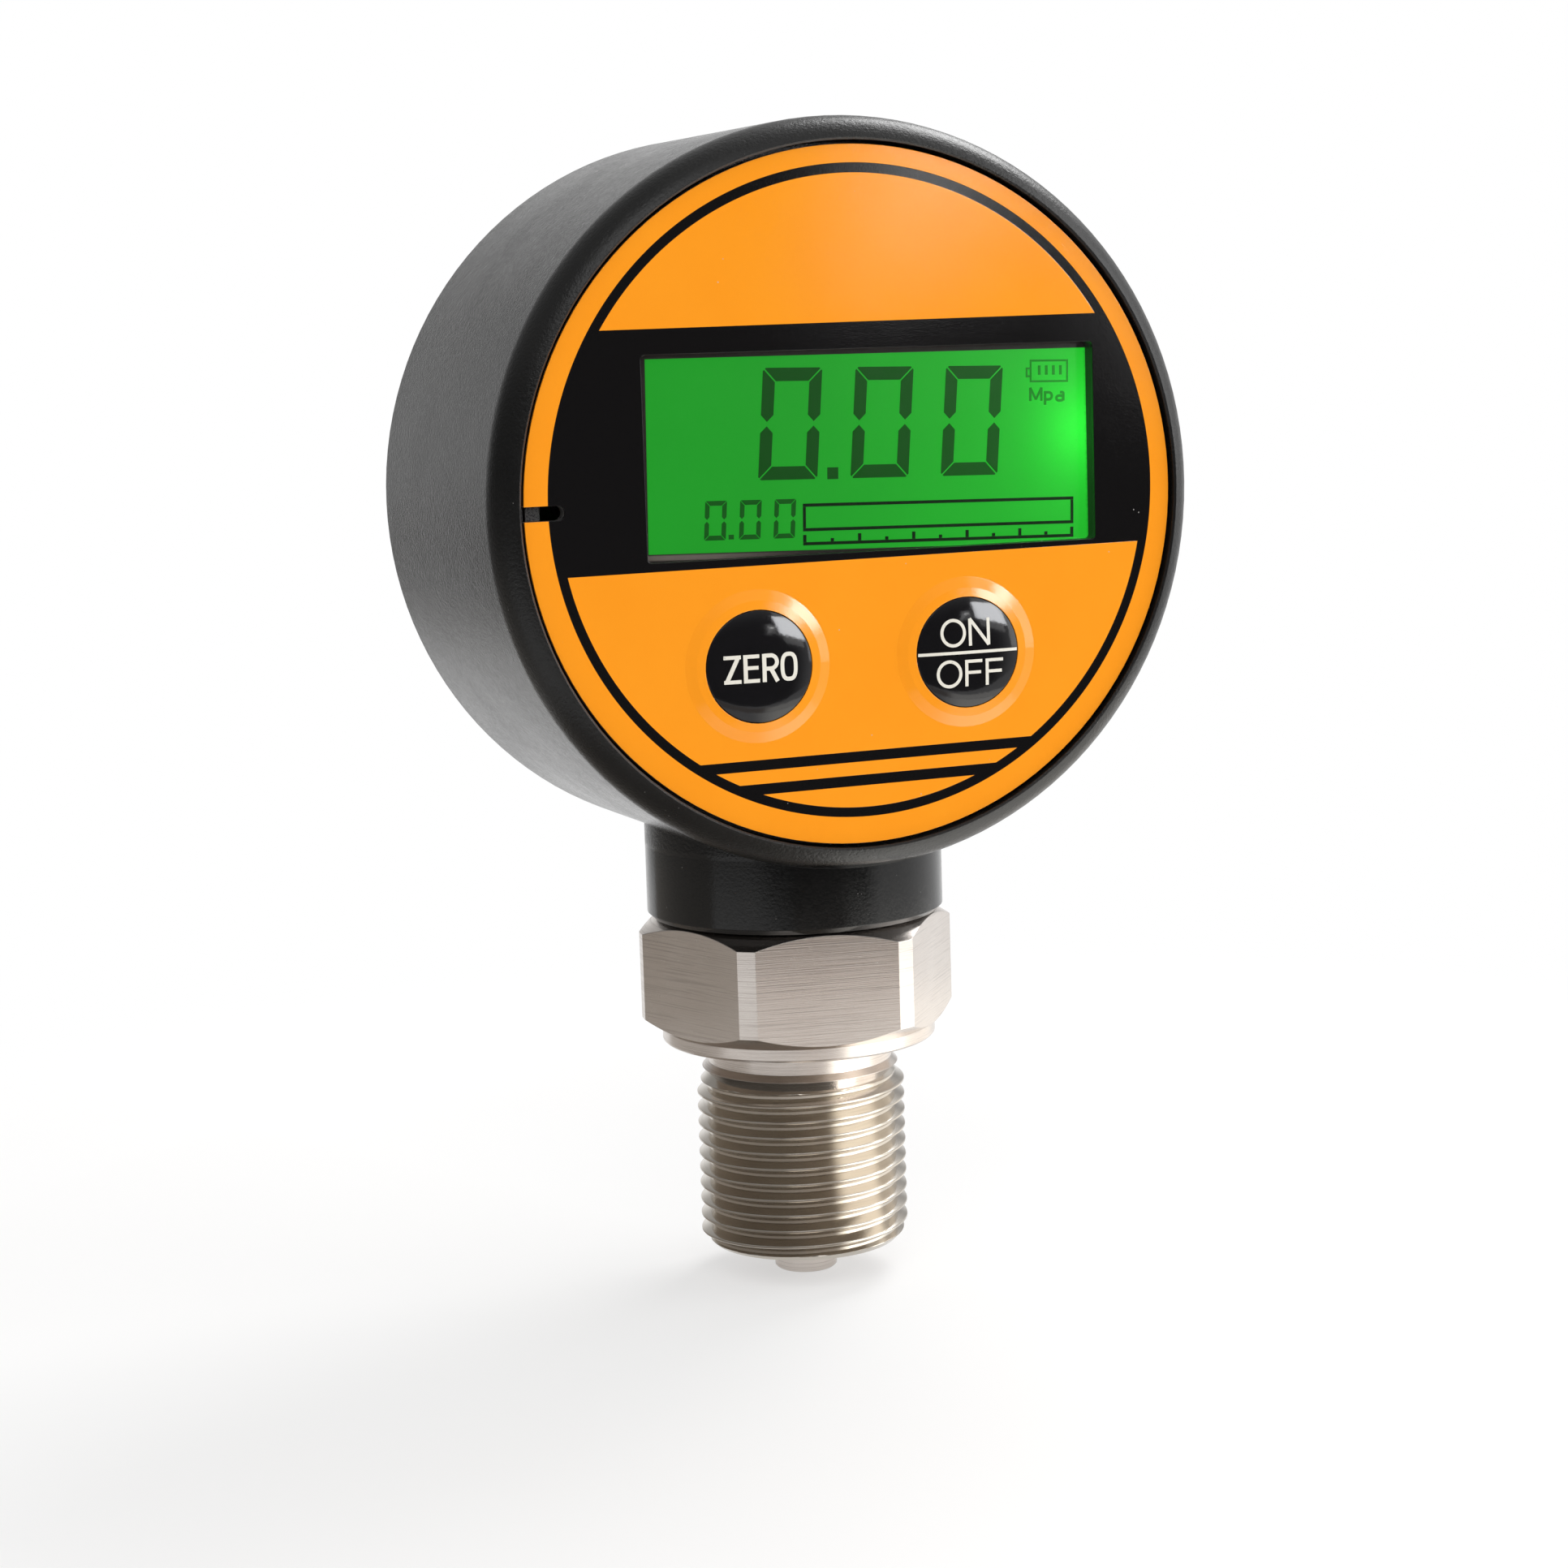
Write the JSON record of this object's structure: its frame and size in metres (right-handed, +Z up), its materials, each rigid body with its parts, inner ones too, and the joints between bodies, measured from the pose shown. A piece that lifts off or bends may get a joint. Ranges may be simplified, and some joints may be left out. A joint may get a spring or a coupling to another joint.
{
  "type": "digital pressure gauge",
  "caption": "Digital pressure gauge with a round black case, an orange dial, a green backlit display, two round keys and a stainless hexagon fitting with a male port thread.",
  "frame": {"origin": "on the stem axis, at the shoulder that seals against the port", "axes": "+Z up the stem, away from the threaded port; -Y out of the dial, towards the reader; +X to the right when the dial is looked at"},
  "size_m": [0.0678, 0.0368, 0.1089],
  "materials": {
    "stainless": "turned and milled stainless steel with fine machining marks",
    "case_black": "satin black moulded plastic",
    "film_orange": "glossy orange film printed with black",
    "clear_pane": "clear polished pane",
    "display_green": "green backlit liquid crystal display",
    "guide_clear": "milky light guide",
    "lamp_white": "lamp body",
    "key_black": "glossy black key caps with white print",
    "inner_black": "plain moulded plastic",
    "seal_rubber": "soft black rubber",
    "nut_brass": "turned brass",
    "wire_red": "wire insulation",
    "plug_ivory": "ivory connector plastic",
    "board_green": "lacquered circuit board",
    "screw_zinc": "plated screws",
    "contact_metal": "plated sheet contacts",
    "cell_sleeve": "plain printed sleeve"
  },
  "bodies": {
    "case": {"fitting": "stainless", "sensor_capsule": "stainless", "capsule_seal": "seal_rubber", "clamp_ring": "stainless", "neck_seal": "seal_rubber", "case_shell": "case_black", "ring_nut": "nut_brass", "sensor_lead": "wire_red", "lead_plug": "plug_ivory"},
    "front": {"front_plate": "case_black", "face_film": "film_orange", "window_pane": "clear_pane", "display_frame": "inner_black", "display_glass": "display_green", "light_guide": "guide_clear", "light_source": "lamp_white", "contact_strip": "seal_rubber", "circuit_board": "board_green", "board_screws": "screw_zinc", "board_chips": "inner_black", "plug_socket": "plug_ivory", "zero_switch": "inner_black", "power_switch": "inner_black", "battery_holder": "inner_black", "spring_contacts": "contact_metal", "plate_contacts": "contact_metal"},
    "zero_button": {"zero_key": "key_black", "zero_plunger": "inner_black"},
    "power_button": {"power_key": "key_black", "power_plunger": "inner_black"},
    "cell_a": {"upper_cell": "cell_sleeve"},
    "cell_b": {"lower_cell": "cell_sleeve"}
  },
  "joints": [
    {"name": "front_pull", "type": "slide", "parent": "case", "child": "front", "axis": [0, -1, 0], "range_m": [0, 0.03]},
    {"name": "zero_press", "type": "slide", "parent": "front", "child": "zero_button", "axis": [0, 1, 0], "range_m": [0, 0.0004], "stiffness_N_per_m": 2000, "springref_m": -0.0005},
    {"name": "power_press", "type": "slide", "parent": "front", "child": "power_button", "axis": [0, 1, 0], "range_m": [0, 0.0004], "stiffness_N_per_m": 2000, "springref_m": -0.0005},
    {"name": "upper_cell_lift", "type": "slide", "parent": "front", "child": "cell_a", "axis": [0, 1, 0], "range_m": [0, 0.012]},
    {"name": "lower_cell_lift", "type": "slide", "parent": "front", "child": "cell_b", "axis": [0, 1, 0], "range_m": [0, 0.012]}
  ]
}
